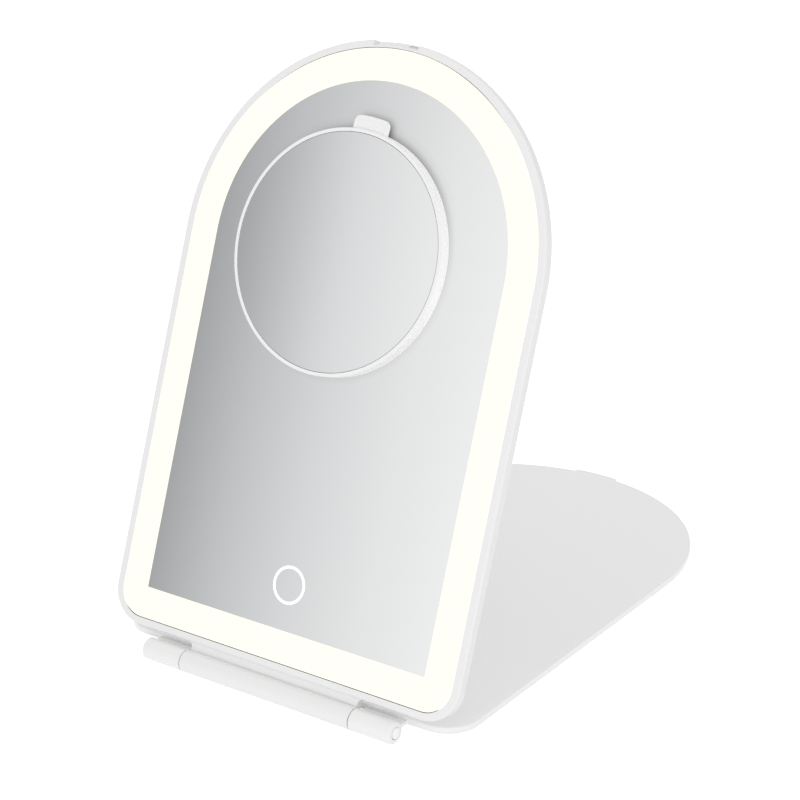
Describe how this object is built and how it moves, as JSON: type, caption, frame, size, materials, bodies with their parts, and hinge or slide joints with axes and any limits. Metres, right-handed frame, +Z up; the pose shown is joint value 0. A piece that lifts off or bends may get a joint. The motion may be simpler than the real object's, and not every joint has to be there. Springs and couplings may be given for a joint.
{
  "type": "lighted travel mirror",
  "caption": "Arch-shaped mirror with a lit frosted band and touch ring, hinged to its fold-round cover, which is its stand, and a lift-off round magnifier.",
  "frame": {"origin": "bottom centre of the bounding box, on the surface that the mirror stands on", "axes": "+X along the hinge to the right of the person who looks into the mirror, +Y away from that person, towards the far end of the cover, +Z up"},
  "size_m": [0.1666, 0.2598, 0.2402],
  "materials": {
    "white_shell": "smooth white moulding with a satin sheen",
    "mirror_face": "silvered glass",
    "magnifying_mirror": "silvered glass, dished",
    "frosted_band": "frosted, lit from behind, warm white",
    "white_light": "lit white line",
    "steel": "plain steel",
    "magnet": "nickel plated magnet",
    "circuit_board": "green solder mask",
    "led_board": "white flexible board with LEDs",
    "cell_foil": "foil pouch",
    "soft_pad": "soft matt silicone",
    "port_metal": "dark metal socket",
    "bronze": "friction sleeve"
  },
  "bodies": {
    "stand": {"cover_shell": "white_shell", "cover_liner": "white_shell", "foot_left": "soft_pad", "foot_right": "soft_pad", "cover_magnet_left": "magnet", "cover_magnet_right": "magnet", "hinge_pin_left": "steel", "hinge_pin_right": "steel", "barrel_cap_left": "white_shell", "barrel_cap_right": "white_shell"},
    "panel": {"panel_shell": "white_shell", "light_band": "frosted_band", "mirror_glass": "mirror_face", "touch_ring": "white_light", "touch_sensor": "circuit_board", "led_strip": "led_board", "battery": "cell_foil", "control_board": "circuit_board", "keeper_plate": "steel", "charge_port": "port_metal", "closure_magnet_left": "magnet", "closure_magnet_right": "magnet", "friction_sleeve_left": "bronze", "friction_sleeve_right": "bronze"},
    "magnifier": {"magnifier_case": "white_shell", "magnifier_mirror": "magnifying_mirror", "magnifier_pad": "soft_pad", "magnifier_magnet_1": "magnet", "magnifier_magnet_2": "magnet", "magnifier_magnet_3": "magnet", "magnifier_magnet_4": "magnet"}
  },
  "joints": [
    {"name": "panel_tilt", "type": "hinge", "parent": "stand", "child": "panel", "pos_m": [0, -0.12548, 0.00445], "axis": [1, 0, 0], "range_deg": [-14, 287.5]},
    {"name": "magnifier_lift", "type": "slide", "parent": "panel", "child": "magnifier", "axis": [0, -0.9333, 0.3591], "range_m": [0, 0.04]}
  ]
}
